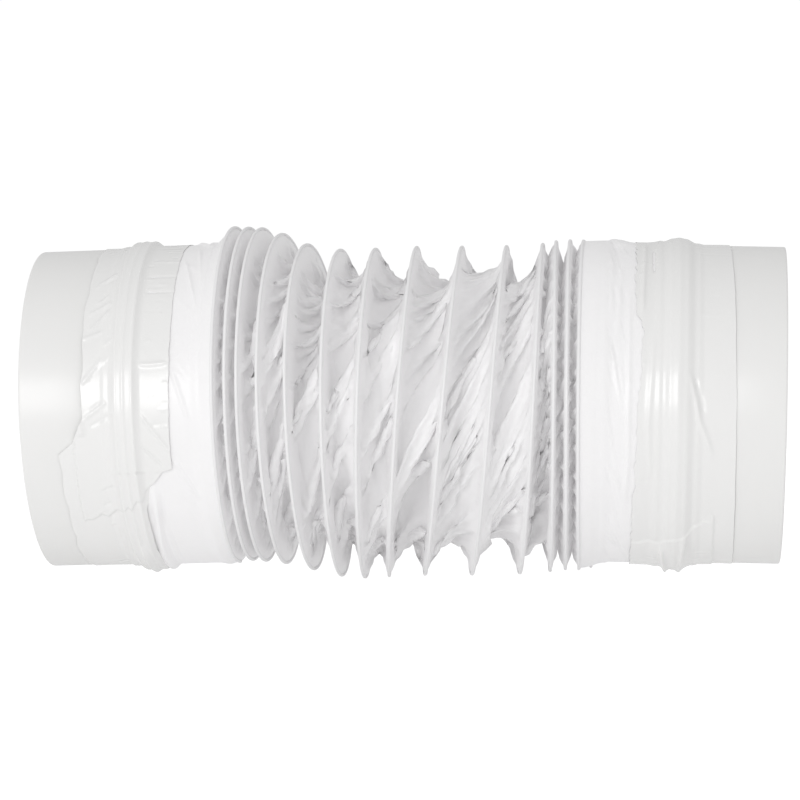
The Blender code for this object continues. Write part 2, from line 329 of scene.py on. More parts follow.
# Camera: degrees off square and of roll, lens in mm, distance in metres, and where it looks, as mm
# from the right mouth's centre along the duct and up, and then to the camera's right.
CAMERA_TURN = 2.0
CAMERA_ROLL = 1.1
CAMERA_LENS = 256.0
CAMERA_DISTANCE = 1.8
CAMERA_LOOK = (-122.0, -0.6)
CAMERA_SHIFT = 1.27

# Light: where the soft square light stands and what it faces, its side in metres, and its power.
KEY_PLACE = (-0.75, -1.9, 0.25)
KEY_TARGET = (0.0, 0.0, 0.055)
KEY_SIZE = 1.1
KEY_WATTS = 15.0
# Surroundings and floor: strengths as light and as the camera sees them, then the floor's half
# side in metres, and how far it lies under the duct.
WORLD_GLOW = (0.66, 1.02)
FLOOR_GLOW = (0.42, 0.72)
FLOOR_REACH = 6.0
FLOOR_DROP = 0.2 * MM

for old in list(bpy.data.objects):
    bpy.data.objects.remove(old, do_unlink=True)
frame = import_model()
record = frame["record"]
joints = {joint["name"]: joint for joint in frame["joints"]}
rng = np.random.default_rng(7)


# ---------------------------------------------------------------- frame of the coil and collars


def unit(v):
    return v / np.linalg.norm(v, axis=-1, keepdims=True)


def node_points(node):
    """Distinct vertices of a CAD node."""
    mesh = frame["nodes"][node].data
    co = np.zeros(len(mesh.vertices) * 3)
    mesh.vertices.foreach_get("co", co)
    return np.unique(np.round(co.reshape(-1, 3), 7), axis=0)


def side_axes(axis):
    """Back and top directions of a ring from its axis."""
    back = unit(np.cross(np.array([0.0, 0.0, 1.0]), axis))
    return back, np.cross(axis, back)


def pleat_axis(k):
    """Direction of the duct at pleat k, towards +X."""
    return -np.array(joints["pleat_%02d_stretch" % k]["axis"], float)


def collar_axes(side):
    """Mouth centre and direction of a collar from its mouth inwards."""
    mouth = next(m for m in record["mounts"] if m["name"] == side + "_mouth")
    inward = -unit(np.array(mouth["axis"], float))
    points = node_points(side + "_collar")
    depth = points @ inward
    rim = points[depth < depth.min() + RIM_DEPTH]
    return rim.mean(0), inward, depth.max() - depth.min()


def turn_knot(k):
    """Centre, axis and radius of a turn of the wire."""
    before = pleat_axis(max(k - 1, 1))
    after = pleat_axis(min(k, TURNS - 1))
    axis = unit(before + after)
    back, top = side_axes(axis)
    points = node_points("wire_turn_%02d" % k)
    middle = points.mean(0)
    flat = (points - middle) @ np.stack([back, top], -1)
    # Circle through the flattened turn: x^2 + y^2 = 2 a x + 2 b y + c.
    terms = np.column_stack([2.0 * flat, np.ones(len(flat))])
    a, b, c = np.linalg.lstsq(terms, (flat ** 2).sum(1), rcond=None)[0]
    return middle + a * back + b * top, axis, math.sqrt(c + a * a + b * b)


COLLARS = {side: collar_axes(side) for side in ("left", "right")}


def coil_knots():
    """Centres, axes and radii of the coil at whole turns, run on to the two collars."""
    knots = [turn_knot(k) for k in range(1, TURNS + 1)]
    ends = {}
    for side, sign in (("left", 1.0), ("right", -1.0)):
        mouth, inward, length = COLLARS[side]
        centre = mouth + inward * (length + COIL_PAST)
        ends[side] = (centre, inward * sign, PIPE_RADIUS + COIL_LIFT)
    knots = [ends["left"]] + knots + [ends["right"]]
    return [np.array([knot[i] for knot in knots]) for i in range(3)]


CENTRES, AXES, RADII = coil_knots()


def along_knots(values, s):
    """Smooth value at s through values at whole turns 0, 1, 2, ..."""
    s = np.clip(np.asarray(s, float), 0.0, len(values) - 1.0)
    i = np.minimum(s.astype(int), len(values) - 2)
    t = s - i
    slope = np.gradient(values, axis=0)
    if values.ndim > 1:
        t = t[..., None]
    h1 = t * t * (3.0 - 2.0 * t)
    return (
        values[i] * (1.0 - h1)
        + values[i + 1] * h1
        + slope[i] * (t * (1.0 - t) ** 2)
        + slope[i + 1] * (t * t * (t - 1.0))
    )


def stations(s):
    """Centre, axis, back, top and radius of the coil at s (an array)."""
    axis = unit(along_knots(AXES, s))
    back = unit(np.cross(np.array([0.0, 0.0, 1.0]), axis))
    top = np.cross(axis, back)
    return along_knots(CENTRES, s), axis, back, top, along_knots(RADII, s)


def ring_point(s, angle, lift=0.0):
    """Point on the ring at s, at an angle from its top towards its back."""
    centre, _, back, top, radius = stations(s)
    out = np.cos(angle)[..., None] * top + np.sin(angle)[..., None] * back
    return centre + out * (radius + lift)[..., None]


def crest(s):
    """Centre of the wire at s."""
    s = np.asarray(s, float)
    return ring_point(s, TWO_PI * s)


# ---------------------------------------------------------------- meshes


def new_piece(name, verts, faces, normals=None):
    """Mesh object from points and faces, smooth shaded, with its own normals where given."""
    mesh = bpy.data.meshes.new(name)
    mesh.from_pydata(verts.tolist(), [], faces)
    mesh.update()
    mesh.shade_smooth()
    if normals is not None:
        mesh.normals_split_custom_set_from_vertices(normals.tolist())
    obj = bpy.data.objects.new(name, mesh)
    bpy.context.scene.collection.objects.link(obj)
    return obj


def grid_faces(rows, cols, closed_round=False):
    """Faces of a grid of points, running round its rows and back to the start if closed."""
    index = np.arange(rows * cols).reshape(rows, cols)
    if closed_round:
        index = np.vstack([index, index[:1]])
    corners = [index[:-1, :-1], index[1:, :-1], index[1:, 1:], index[:-1, 1:]]
    return np.stack(corners, -1).reshape(-1, 4)


def shell(name, verts, normals, faces, thick):
    """Closed thin shell from an open sheet: the sheet, a copy below it, and a rim."""
    count = len(verts)
    ahead = {(a, b) for face in faces for a, b in zip(face, face[1:] + face[:1])}
    rim = [(b, a, a + count, b + count) for a, b in ahead if (b, a) not in ahead]
    rim.sort()
    below = [tuple(v + count for v in reversed(face)) for face in faces]
    both = np.vstack([verts, verts - normals * thick])
    return new_piece(name, both, faces + below + rim, np.vstack([normals, -normals]))


def grid_normals(points, closed_round=False):
    """Unit normals of a grid of points, from its two directions."""
    if closed_round:
        di = np.roll(points, -1, 0) - np.roll(points, 1, 0)
    else:
        di = np.gradient(points, axis=0)
    dj = np.gradient(points, axis=1)
    return unit(np.cross(di, dj) + 1e-15)


# ---------------------------------------------------------------- film cloth


def pull(x, free, one, two, rest, stiffness):
    """Moves pairs of cloth points towards their rest distance."""
    a, b = x[one], x[two]
    wa, wb = free[one], free[two]
    gap = b - a
    length = np.sqrt(np.einsum("...k,...k->...", gap, gap)) + 1e-12
    strain = length - rest
    strain *= np.where(strain > 0.0, stiffness, stiffness * GIVE)
    share = strain / length / np.maximum(wa + wb, 1e-9)
    move = gap * share[..., None]
    x[one] = a + move * wa[..., None]
    x[two] = b - move * wb[..., None]


def pair_sets(rows, cols):
    """Index pairs of the cloth's links: round, across, both diagonals, and bends."""
    sets = []

    def add(di, dj, kind, step):
        for first in range(step):
            if di and not dj:
                one = (slice(first, rows - di, step), slice(None))
                two = (slice(first + di, rows, step), slice(None))
            elif dj and not di:
                one = (slice(None), slice(first, cols - dj, step))
                two = (slice(None), slice(first + dj, cols, step))
            elif dj > 0:
                one = (slice(first, rows - di, step), slice(0, cols - dj))
                two = (slice(first + di, rows, step), slice(dj, cols))
            else:
                one = (slice(first, rows - di, step), slice(-dj, cols))
                two = (slice(first + di, rows, step), slice(0, cols + dj))
            sets.append((kind, one, two))

    add(1, 0, "round", 2)
    add(0, 1, "across", 2)
    add(1, 1, "diagonal", 2)
    add(1, -1, "diagonal", 2)
    add(2, 0, "round2", 4)
    add(0, 2, "across2", 4)
    return sets


def trim(x, one, two):
    """Makes both slices of a pair the same length."""
    shape_a, shape_b = x[one].shape[:2], x[two].shape[:2]
    n, m = min(shape_a[0], shape_b[0]), min(shape_a[1], shape_b[1])

    def cut(view):
        result = []
        for part, keep in zip(view, (n, m)):
            start = part.start or 0
            step = part.step or 1
            result.append(slice(start, start + (keep - 1) * step + 1, step))
        return tuple(result)

    return cut(one), cut(two)


def slow_noise(s, per_turn):
    """Smooth random line between about -1 and 1, with per_turn knots in each turn."""
    knots = rng.uniform(-1.0, 1.0, int(TURNS * per_turn) + 4)
    return along_knots(knots, s * per_turn + 1.0)


def smooth(t):
    """Smooth step from 0 to 1 for t from 0 to 1."""
    t = np.clip(t, 0.0, 1.0)
    return t * t * (3.0 - 2.0 * t)


def blur(field):
    """One pass of blur down the rows of a field, in place."""
    field[1:-1] = (field[2:] + field[:-2] + 2.0 * field[1:-1]) / 4.0


def blurred_noise(rows, cols, passes):
    """Smooth random field over a grid, with a spread of 1."""
    noise = rng.normal(0.0, 1.0, (rows, cols))
    for _ in range(passes):
        blur(noise)
        blur(noise.T)
    return noise / noise.std()


def sloping_creases(rows, cols):
    """Creases that climb across the film as they run round it, sharp at their highest line."""
    noise = rng.normal(0.0, 1.0, (rows + CREASE_SLOPE * cols, cols))
    for _ in range(CREASE_LONG):
        blur(noise)
    for _ in range(CREASE_WIDE):
        blur(noise.T)
    noise /= noise.std()
    row = np.arange(rows)[:, None] + CREASE_SLOPE * (cols - 1 - np.arange(cols))[None, :]
    return CREASE_LEVEL - np.abs(noise[row, np.arange(cols)[None, :]])


def film_links(x, across_rest):
    """Pairs of cloth points with their rest distance and stiffness."""
    rows, cols = across_rest.shape
    round_rest = TWO_PI * RADII[1:-1].mean() / GRID_ROUND
    rests = {
        "round": (lambda view: round_rest, THREAD_STIFFNESS),
        "across": (lambda view: across_rest[view], THREAD_STIFFNESS),
        "diagonal": (lambda view: np.hypot(round_rest, across_rest[view]), SHEAR_STIFFNESS),
        "round2": (lambda view: 2.0 * round_rest, FOLD_STIFFNESS),
        "across2": (lambda view: 2.0 * across_rest[view], FOLD_STIFFNESS),
    }
    links = []
    for kind, one, two in pair_sets(rows, cols):
        one, two = trim(x, one, two)
        rest, stiffness = rests[kind]
        links.append((one, two, rest(one), stiffness))
    return links


def settle(x, edges, planes, margin, push, links):
    """Lets the film settle, with its edges on the wire and its points between two turns' planes."""
    start, finish = edges
    (left_centre, left_axis), (right_centre, right_axis) = planes
    free = np.ones(x.shape[:2])
    free[:, 0] = 0.0
    free[:, -1] = 0.0
    before = x.copy()
    for _ in range(CLOTH_STEPS):
        speed = (x - before) * SPEED_KEPT
        before = x.copy()
        x += speed * free[..., None] + push
        for _ in range(CLOTH_PASSES):
            for one, two, rest, stiffness in links:
                pull(x, free, one, two, rest, stiffness)
            low = margin - np.einsum("...k,...k->...", x - left_centre, left_axis)
            x += left_axis * np.maximum(low, 0.0)[..., None]
            high = margin - np.einsum("...k,...k->...", right_centre - x, right_axis)
            x -= right_axis * np.maximum(high, 0.0)[..., None]
            x[:, 0] = start
            x[:, -1] = finish


def film_cloth():
    """Points of the hose's film, [along the helix, across the pleat], settled as cloth."""
    rows = TURNS * GRID_ROUND + 1
    cols = GRID_ACROSS + 1
    s = np.linspace(0.0, TURNS, rows)
    u = np.linspace(0.0, 1.0, cols)
    ramp = smooth(np.minimum(s / FIRST_TAUT, (TURNS - LAST_TAUT - s) / LAST_TAUT))[:, None]
    start = crest(s)
    gap = np.linalg.norm(crest(np.minimum(s + 1.0, TURNS + 1.0)) - start, axis=1)[:, None]
    openness = smooth(gap / OPEN_GAP)
    twist = FILM_TWIST + FILM_TWIST_SPREAD * slow_noise(s, TWIST_CHANGES)[:, None]
    twist = twist * openness * ramp
    # Along the helix: each point's place on its left turn, and on its way to the right one.
    sv = s[:, None] + twist * u[None, :]
    angle = TWO_PI * sv
    at = sv + u[None, :]
    finish = crest(s + 1.0 + twist[:, 0])

    # Starting shape: sagging inwards between the turns, and crumpled.
    width = BUNCH_WIDTH + (FILM_WIDTH - BUNCH_WIDTH) * openness
    width = gap + (width - gap) * ramp
    sag = np.sqrt(np.maximum(width ** 2 - gap ** 2, 0.0)) / 2.0 * (1.0 - np.abs(2.0 * u - 1.0))
    x = ring_point(at, angle, -sag * START_SAG)
    noise = np.stack([blurred_noise(rows, cols, NOISE_SMOOTHING) for _ in range(3)], -1)
    fine = np.stack([blurred_noise(rows, cols, FINE_SMOOTHING) for _ in range(3)], -1)
    noise += FINE_NOISE * fine
    slack = ramp * (BUNCH_NOISE + (1.0 - BUNCH_NOISE) * openness)
    x += noise * FILM_NOISE * slack[..., None]
    x[:, 0] = start
    x[:, -1] = finish

    # Pull towards the duct's inside, and towards the nearer turn.
    _, _, back, top, _ = stations(at)
    inward = -(np.cos(angle)[..., None] * top + np.sin(angle)[..., None] * back)
    inward = inward * (SUCTION * np.sin(np.pi * u)[None, :] * ramp)[..., None]
    left_centre, left_axis, *_ = stations(sv)
    inward = inward - left_axis * (HUG * np.cos(np.pi * u)[None, :] * openness * ramp)[..., None]

    # Room between the two turns, and the film's uneven rest width.
    right_centre, right_axis, *_ = stations(np.minimum(sv + 1.0, TURNS + 1.0))
    edge = np.minimum(u, 1.0 - u)[None, :] * 2.0
    margin = np.minimum(WIRE_MARGIN, MARGIN_SHARE * gap) * np.minimum(edge * EDGE_RAMP, 1.0)
    uneven = FILM_UNEVEN * blurred_noise(rows, cols, UNEVEN_SMOOTHING)
    uneven = uneven * (BUNCH_UNEVEN + (1.0 - BUNCH_UNEVEN) * openness)
    across_rest = width / GRID_ACROSS * (1.0 + uneven)
    planes = (left_centre, left_axis), (right_centre, right_axis)
    settle(x, (start, finish), planes, margin, inward, film_links(x, across_rest))

    # Sharp creases, and the taut film at both ends.
    inside = smooth(edge * CREASE_RAMP) * openness
    creases = CREASE_DEPTH * sloping_creases(rows, cols) * inside
    x += grid_normals(x) * creases[..., None]
    straight = start[:, None] + (finish - start)[:, None] * u[None, :, None]
    return straight + (x - straight) * smooth(ramp * END_RAMP)[..., None]


# ---------------------------------------------------------------- film and bead, cut into spans


def chain():
    """Bodies along the hose from left to right, each with the turn where it holds the film."""
    held = [("left_end", 1.0), ("turn_02", 2.0)]
    for k in range(FIRST_OPEN, LAST_OPEN + 1):
        held += [("turn_%02d" % k, float(k)), ("pleat_%02d" % k, k + 0.5)]
    held += [("turn_%02d" % k, float(k)) for k in range(LAST_OPEN + 1, TURNS)]
    return held + [("right_end", float(TURNS))]


CHAIN = chain()


def span_name(i):
    """Name of the part of the hose left of cut i."""
    if i == 0:
        return "left"
    if i == len(CHAIN):
        return "right"
    return "%s_%s" % (CHAIN[i - 1][0], CHAIN[i][0])


def attach(piece, i, nodes):
    """Lets span i of the hose follow its body if it is an end span. A middle span only has its
    transform baked; the inset where it would bend is worked out but not used.
    """
    if i in (0, len(CHAIN)):
        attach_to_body(piece, CHAIN[0][0] if i == 0 else CHAIN[-1][0])
    else:
        (left, s_left), (right, s_right) = CHAIN[i - 1], CHAIN[i]
        centres, axes, _, _, radii = stations(np.array([s_left, s_right]))
        axis = unit(axes[0] + axes[1])
        width = (centres[1] - centres[0]) @ axis
        inset = radii * np.linalg.norm(np.cross(axes, axis), axis=1) + SPAN_MARGIN
        inset *= min(1.0, SPAN_SHARE * width / inset.max())
        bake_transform(piece)
    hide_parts(*nodes)


def span_turns(i):
    """Numbers of the wire turns that span i of the hose takes in."""
    if i == 0:
        return [1]
    if i == len(CHAIN):
        return [TURNS]
    names = [body for body, _ in (CHAIN[i - 1], CHAIN[i])]
    turns = {"left_end": 1, "right_end": TURNS}
    turns.update({"turn_%02d" % k: k for k in range(2, TURNS)})
    return sorted(turns[name] for name in names if name in turns)


def span_pleats(i):
    """Numbers of the pleats that span i of the hose takes in."""
    if i == 0:
        return []
    if i == len(CHAIN):
        return [TURNS - 1]
    return [int(CHAIN[i - 1][1])]


def film_pieces(points, mat):
    """Cuts the film at the bodies' stations and makes each span a thin closed shell."""
    points = points[:, ::-1]
    rows, cols = points.shape[:2]
    sheet = bpy.data.meshes.new("sheet")
    sheet.from_pydata(points.reshape(-1, 3).tolist(), [], grid_faces(rows, cols).tolist())
    bm = bmesh.new()
    bm.from_mesh(sheet)
    centres, axes, *_ = stations(np.array([s for _, s in CHAIN]))
    for centre, axis in zip(centres, axes):
        everything = bm.verts[:] + bm.edges[:] + bm.faces[:]
        bmesh.ops.bisect_plane(bm, geom=everything, plane_co=centre, plane_no=axis, dist=1e-7)
    bm.normal_update()
    verts = np.array([v.co for v in bm.verts])
    normals = np.array([v.normal for v in bm.verts])
    faces = [tuple(v.index for v in f.verts) for f in bm.faces]
    middles = np.array([f.calc_center_median() for f in bm.faces])
    bm.free()
    bpy.data.meshes.remove(sheet)
    beyond = [(middles - centre) @ axis > 0.0 for centre, axis in zip(centres, axes)]
    span = np.sum(beyond, axis=0)
    for i in range(len(CHAIN) + 1):
        mine = [faces[f] for f in np.flatnonzero(span == i)]
        used = np.unique([v for face in mine for v in face])
        place = {int(v): n for n, v in enumerate(used)}
        mine = [tuple(place[v] for v in face) for face in mine]
        piece = shell("film_" + span_name(i), verts[used], normals[used], mine, FILM_THICK)
        piece.data.materials.append(mat)
        attach(piece, i, ["film_pleat_%02d" % k for k in span_pleats(i)])


def tube(name, first, last):
    """Round tube along the crest of the coil from turn first to turn last, with flat ends."""
    steps = max(4, int((last - first) * GRID_ROUND))
    s = np.linspace(first, last, steps + 1)
    middle = crest(s)
    ahead = unit(crest(s + BEAD_STEP) - crest(s - BEAD_STEP))
    side = unit(np.cross(stations(s)[1], ahead))
    up = np.cross(ahead, side)
    turn = TWO_PI * np.arange(BEAD_SIDES) / BEAD_SIDES
    ring = np.cos(turn)[:, None, None] * side + np.sin(turn)[:, None, None] * up
    points = middle + ring * BEAD_RADIUS
    faces = [tuple(face) for face in grid_faces(BEAD_SIDES, steps + 1, True).tolist()]
    ends = [i * (steps + 1) for i in range(BEAD_SIDES)]
    faces += [tuple(ends), tuple(e + steps for e in reversed(ends))]
    return new_piece(name, points.reshape(-1, 3), faces)


def bead_pieces(mat):
    """Film-covered wire, in the same spans as the film."""
    stops = [BEAD_START] + [s for _, s in CHAIN] + [TURNS + BEAD_START]
    for i, (first, last) in enumerate(zip(stops, stops[1:])):
        piece = tube("bead_" + span_name(i), first, last)
        piece.data.materials.append(mat)
        attach(piece, i, ["wire_turn_%02d" % k for k in span_turns(i)])


# ---------------------------------------------------------------- collars, cuffs and tape


def collar_point(side, x, angle, lift):
    """Point at x from a collar's mouth, at an angle from its top towards the back."""
    mouth, inward, _ = COLLARS[side]
    back, top = side_axes(inward if side == "left" else -inward)
    x, angle, lift = np.broadcast_arrays(x, angle, lift)
    out = np.cos(angle)[..., None] * top + np.sin(angle)[..., None] * back
    return mouth + inward * x[..., None] + out * (PIPE_RADIUS + lift)[..., None]


def stand_in(piece, side, node, mat):
    """Lets a piece of one end stand for its CAD node, with its material."""
    piece.data.materials.append(mat)
    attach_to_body(piece, side + "_end")
    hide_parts(side + "_" + node)


def turned(name, side, profile):
    """Solid turned round a collar's axis, from a profile of (distance from the mouth, lift)."""
    profile = np.array([*profile, profile[0]])
    angle = TWO_PI * np.arange(COLLAR_SIDES) / COLLAR_SIDES
    points = collar_point(side, profile[:, 0], angle[:, None], profile[:, 1])
    if side == "left":
        points = points[:, ::-1]
    rows, cols = points.shape[:2]
    piece = new_piece(name, points.reshape(-1, 3), grid_faces(rows, cols, True).tolist())
    bm = bmesh.new()
    bm.from_mesh(piece.data)
    bmesh.ops.remove_doubles(bm, verts=bm.verts[:], dist=WELD)
    bm.to_mesh(piece.data)
    bm.free()
    return piece


def wrapped(name, side, points, thick, closed):
    """Thin shell from a grid of points round a collar. An open grid's ends meet in a seam."""
    if side == "left":
        points = points[:, ::-1]
    rows, cols = points.shape[:2]
    normals = grid_normals(points, closed)
    if not closed:
        normals[0] = normals[-1] = unit(normals[0] + normals[-1])
    faces = [tuple(face) for face in grid_faces(rows, cols, closed).tolist()]
    return shell(name, points.reshape(-1, 3), normals.reshape(-1, 3), faces, thick)


def make_collar(side, mat):
    """Pipe stub with rounded rims."""
    length = COLLARS[side][2]
    profile = (
        (0.0, -PIPE_CHAMFER), (0.15 * PIPE_CHAMFER, -0.5 * PIPE_CHAMFER),
        (0.5 * PIPE_CHAMFER, -0.15 * PIPE_CHAMFER), (PIPE_CHAMFER, 0.0),
        (2.0 * PIPE_CHAMFER, 0.0), (length - PIPE_CHAMFER, 0.0), (length, -PIPE_CHAMFER),
        (length, -PIPE_WALL), (2.0 * PIPE_CHAMFER, -PIPE_WALL),
        (0.3 * PIPE_CHAMFER, -PIPE_WALL), (0.0, 0.3 * PIPE_CHAMFER - PIPE_WALL),
    )
    piece = turned(side + "_collar_pipe", side, profile)
    stand_in(piece, side, "collar", mat)


def crease(x, angle, line, height, half_width):
    """Height of a crease along a line of (degrees, mm) points, fading out at its ends."""
    middle = math.radians(sum(point[0] for point in line) / len(line))
    around = ((angle - middle + math.pi) % TWO_PI - math.pi) * PIPE_RADIUS
    corners = [((math.radians(a) - middle) * PIPE_RADIUS, b * MM) for a, b in line]
    lengths = [math.dist(p, q) for p, q in zip(corners, corners[1:])]
    total = sum(lengths)
    nearest = np.full(np.broadcast(x, angle).shape, 1.0)
    along = np.zeros_like(nearest)
    walked = 0.0
    for (a0, x0), (a1, x1), length in zip(corners, corners[1:], lengths):
        t = ((around - a0) * (a1 - a0) + (x - x0) * (x1 - x0)) / length ** 2
        t = np.clip(t, 0.0, 1.0)
        away = np.hypot(around - a0 - t * (a1 - a0), x - x0 - t * (x1 - x0))
        along = np.where(away < nearest, (walked + t * length) / total, along)
        nearest = np.minimum(nearest, away)
        walked += length
    fade = smooth(np.minimum(along, 1.0 - along) * CREASE_FADE)
    return height * MM * np.exp(-(nearest / (half_width * MM)) ** 2) * fade


def jagged(angle, knots, depth):
    """Ragged edge: straight runs between random points."""
    heights = rng.uniform(-depth, depth, knots)
    position = angle / TWO_PI * knots
    i = position.astype(int) % knots
    t = position - position.astype(int)
    return heights[i] * (1.0 - t) + heights[(i + 1) % knots] * t


def through(angle, table):
    """Straight-line value at an angle through (degrees, value) points, going round."""
    degrees = np.degrees(angle) % 360.0
    return np.interp(degrees, [row[0] for row in table], [row[1] for row in table], period=360.0)


def window(x, first, last, soft):
    """1 between two distances from the mouth, in mm, falling to 0 over a soft edge."""
    return smooth((x / MM - first) / soft + 0.5) * smooth((last - x / MM) / soft + 0.5)


def fine_wrinkles(x, angle, count, first, last, lean, height):
    """Random thin creases that run along the duct, leaning up to lean degrees."""
    total = np.zeros(np.broadcast(x, angle).shape)
    for _ in range(count):
        at = rng.uniform(0.0, 360.0)
        begin = rng.uniform(first, last - WRINKLE_ROOM)
        finish = rng.uniform(begin + WRINKLE_LEAST, last + WRINKLE_PAST)
        turn = rng.uniform(*WRINKLE_LEAN) * lean * (finish - begin) / (last - first)
        size = height * rng.uniform(*WRINKLE_HEIGHT) * rng.choice([-1.0, 1.0])
        line = ((at, begin), (at + turn, finish))
        total += crease(x, angle, line, size, rng.uniform(*WRINKLE_HALF))
    return total


def second_layer(side, x, degrees):
    """Extra height of the tape where a second layer of it lies past a torn edge."""
    edge, stop = TAPE_LAYERS[side]
    at = [row[1] for row in edge]
    torn = np.interp(x / MM, at, [row[0] for row in edge])
    torn = torn + TORN_DEGREES * np.interp(x / MM, *TORN[side])
    way = 1.0 if stop > edge[-1][0] else -1.0
    layer = smooth(way * (degrees - torn) / LAYER_EDGE)
    layer = layer * smooth(way * (stop - degrees) / LAYER_FADE)
    return LAYER_RISE * layer * ((x / MM > at[0]) & (x / MM < at[-1]))


def tape_height(side, x, angle):
    """Height of the tape above the pipe: the cuff's step, the cable tie and the creases."""
    tie = window(x, *RIDGE[side]) * RIDGE_RISE
    for at, rise, half in RIDGE_LINES[side]:
        tie += rise * MM * np.exp(-((x / MM - at) / half) ** 2)
    head = math.radians(TIE_HEAD_DEGREES)
    around = ((angle - head + math.pi) % TWO_PI - math.pi) * PIPE_RADIUS / MM
    half, soft = HEAD_LUMP_ROUND
    lump = window(x, *HEAD_LUMP) * smooth((half - np.abs(around)) / soft)
    cuff = smooth((x / MM - CUFF_START / MM + CUFF_BEFORE) / CUFF_SOFT)
    height = TAPE_REST + CUFF_RISE * cuff
    height = np.maximum(height + tie, (TAPE_REST + HEAD_RISE) * lump)
    height = height + TAPE_WAVE * np.sin(WAVES_ROUND * angle + x / MM * WAVE_SLANT)
    for line, rise, half in TAPE_CREASES[side]:
        height += crease(x, angle, line, rise, half)
    for wrinkles in TAPE_WRINKLES[side]:
        height += fine_wrinkles(x, angle, *wrinkles)
    return height + second_layer(side, x, np.degrees(angle))


def make_tape(side, mat):
    """Tape wound over the cuff's end and the cable tie, with ragged edges."""
    angle = TWO_PI * np.arange(TAPE_SIDES) / TAPE_SIDES
    start = through(angle, TAPE_STARTS[side]) + jagged(angle, TAPE_TEETH[0], TAPE_RAGGED[side][0])
    end = through(angle, TAPE_ENDS[side]) + jagged(angle, TAPE_TEETH[1], TAPE_RAGGED[side][1])
    v = np.linspace(0.0, 1.0, TAPE_COLUMNS)
    x = (start[:, None] + (end - start)[:, None] * v) * MM
    height = tape_height(side, x, angle[:, None])
    points = collar_point(side, x, angle[:, None], height)
    piece = wrapped(side + "_tape_wrap", side, points, TAPE_THICK, closed=True)
    stand_in(piece, side, "tape", mat)


def make_tie(side, mat):
    """Cable tie under the tape: a flat strap round the cuff, with its head."""
    first, last = TIE_SPAN
    low, high = TIE_LIFT
    profile = (
        (first, low), (first, high - TIE_EDGE), (first + TIE_EDGE, high),
        (last - TIE_EDGE, high), (last, high - TIE_EDGE), (last, low),
    )
    piece = turned(side + "_tie", side, profile)
    head_angle = np.array(math.radians(TIE_HEAD_DEGREES))
    middle = np.array((first + last) / 2.0)
    base = Vector(collar_point(side, middle, head_angle, np.array(low)))
    up = (Vector(collar_point(side, middle, head_angle, np.array(high))) - base).normalized()
    along = Vector(COLLARS[side][1])
    turn = Matrix((along, up.cross(along), up)).transposed().to_4x4()
    turn.translation = base + up * TIE_HEAD[2] / 2.0
    head = bmesh.new()
    bmesh.ops.create_cube(head, size=1.0)
    bmesh.ops.scale(head, vec=TIE_HEAD, verts=head.verts)
    bmesh.ops.bevel(
        head, geom=head.edges[:], offset=TIE_BEVEL, segments=3, affect="EDGES", profile=0.5
    )
    bmesh.ops.transform(head, matrix=turn, verts=head.verts)
    block = bpy.data.meshes.new("tie_head")
    head.to_mesh(block)
    head.free()
    bm = bmesh.new()
    bm.from_mesh(piece.data)
    bm.from_mesh(block)
    bpy.data.meshes.remove(block)
    bm.to_mesh(piece.data)
    bm.free()
    piece.data.shade_smooth()
    stand_in(piece, side, "cable_tie", mat)


def make_cuff(side, mat):
    """Film stretched over the collar, running on to the first or last turn of the wire."""
    length = COLLARS[side][2]
    turn = 0.0 if side == "left" else float(TURNS)
    s = np.linspace(0.0, 1.0, CUFF_SIDES + 1)
    angle = (TWO_PI * s)[:, None]
    x = np.linspace(CUFF_START, length, CUFF_COLUMNS)[None, :]
    height = np.full((len(angle), x.size), CUFF_REST)
    for line, rise, half in CUFF_CREASES[side]:
        height += crease(x, angle, line, rise, half)
    height += fine_wrinkles(x, angle, *CUFF_WRINKLES[side])
    height = np.maximum(height, CUFF_LOWEST)
    flare = smooth((x - length) / CUFF_FLARE + 1.0)
    height += (RADII[0] - PIPE_RADIUS - height) * flare
    flat = collar_point(side, x, angle, height)
    rim = crest(turn + s)[:, None]
    t = np.linspace(0.0, 1.0, CUFF_FREE + 1)[None, 1:, None]
    last = flat[:, -1:]
    points = np.concatenate([flat, last + (rim - last) * t], 1)
    piece = wrapped(side + "_cuff_film", side, points, FILM_THICK, closed=False)
    stand_in(piece, side, "cuff", mat)


# ---------------------------------------------------------------- materials


def noise_value(nodes, links, place, scale, detail):
    """Noise in the object's own coordinates."""
    node = nodes.new("ShaderNodeTexNoise")
    node.inputs["Scale"].default_value = scale
    node.inputs["Detail"].default_value = detail
    links.new(place.outputs["Object"], node.inputs["Vector"])
    return node.outputs["Fac"]


def ranged_value(nodes, links, source, low, high):
    """Value that goes from low to high as its source goes from 0 to 1."""
    node = nodes.new("ShaderNodeMapRange")
    node.inputs["To Min"].default_value = low
    node.inputs["To Max"].default_value = high
    links.new(source, node.inputs["Value"])
    return node.outputs["Result"]


